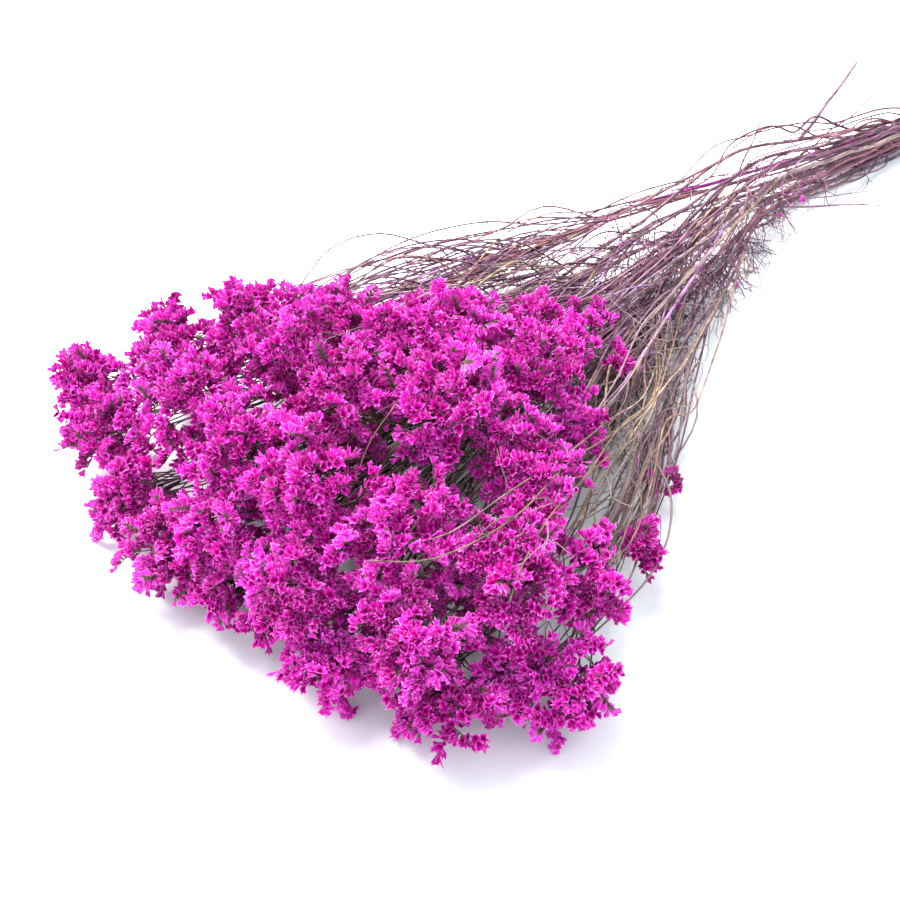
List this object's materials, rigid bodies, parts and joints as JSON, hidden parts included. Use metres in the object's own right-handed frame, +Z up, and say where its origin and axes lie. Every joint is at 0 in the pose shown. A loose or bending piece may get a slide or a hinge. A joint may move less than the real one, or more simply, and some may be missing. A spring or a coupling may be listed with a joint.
{
  "type": "bunch of dried statice",
  "caption": "Dried, dyed statice: branching wiry stems fanned out to crowded heads of small papery magenta florets, banded near the cut ends and lying down.",
  "frame": {"origin": "middle of the bunch's footprint, on the surface it lies on", "axes": "+X from the cut ends towards the flowers, along the bunch; +Y towards the side of the fan that is nearer in the picture; +Z up from the surface"},
  "size_m": [0.7134, 0.2928, 0.103],
  "materials": {
    "stem": "dry and matt",
    "floret": "papery, matt, slightly translucent",
    "band": "matt"
  },
  "bodies": {
    "root": {"band": "band", "stem_01": "stem", "head_01_1": "floret", "head_01_2": "floret", "head_01_3": "floret", "stem_02": "stem", "head_02_1": "floret", "head_02_2": "floret", "head_02_3": "floret", "stem_03": "stem", "head_03_1": "floret", "head_03_2": "floret", "head_03_3": "floret", "stem_04": "stem", "head_04_1": "floret", "head_04_2": "floret", "head_04_3": "floret", "head_04_4": "floret", "stem_05": "stem", "head_05_1": "floret", "head_05_2": "floret", "head_05_3": "floret", "stem_06": "stem", "head_06_1": "floret", "head_06_2": "floret", "head_06_3": "floret", "head_06_4": "floret", "stem_07": "stem", "head_07_1": "floret", "head_07_2": "floret", "head_07_3": "floret", "stem_08": "stem", "head_08_1": "floret", "head_08_2": "floret", "head_08_3": "floret", "head_08_4": "floret", "stem_09": "stem", "head_09_1": "floret", "head_09_2": "floret", "head_09_3": "floret", "head_09_4": "floret", "stem_10": "stem", "head_10_1": "floret", "head_10_2": "floret", "head_10_3": "floret", "head_10_4": "floret", "stem_11": "stem", "head_11_1": "floret", "head_11_2": "floret", "head_11_3": "floret", "head_11_4": "floret", "stem_12": "stem", "head_12_1": "floret", "head_12_2": "floret", "head_12_3": "floret", "head_12_4": "floret", "head_12_5": "floret"}
  },
  "joints": []
}
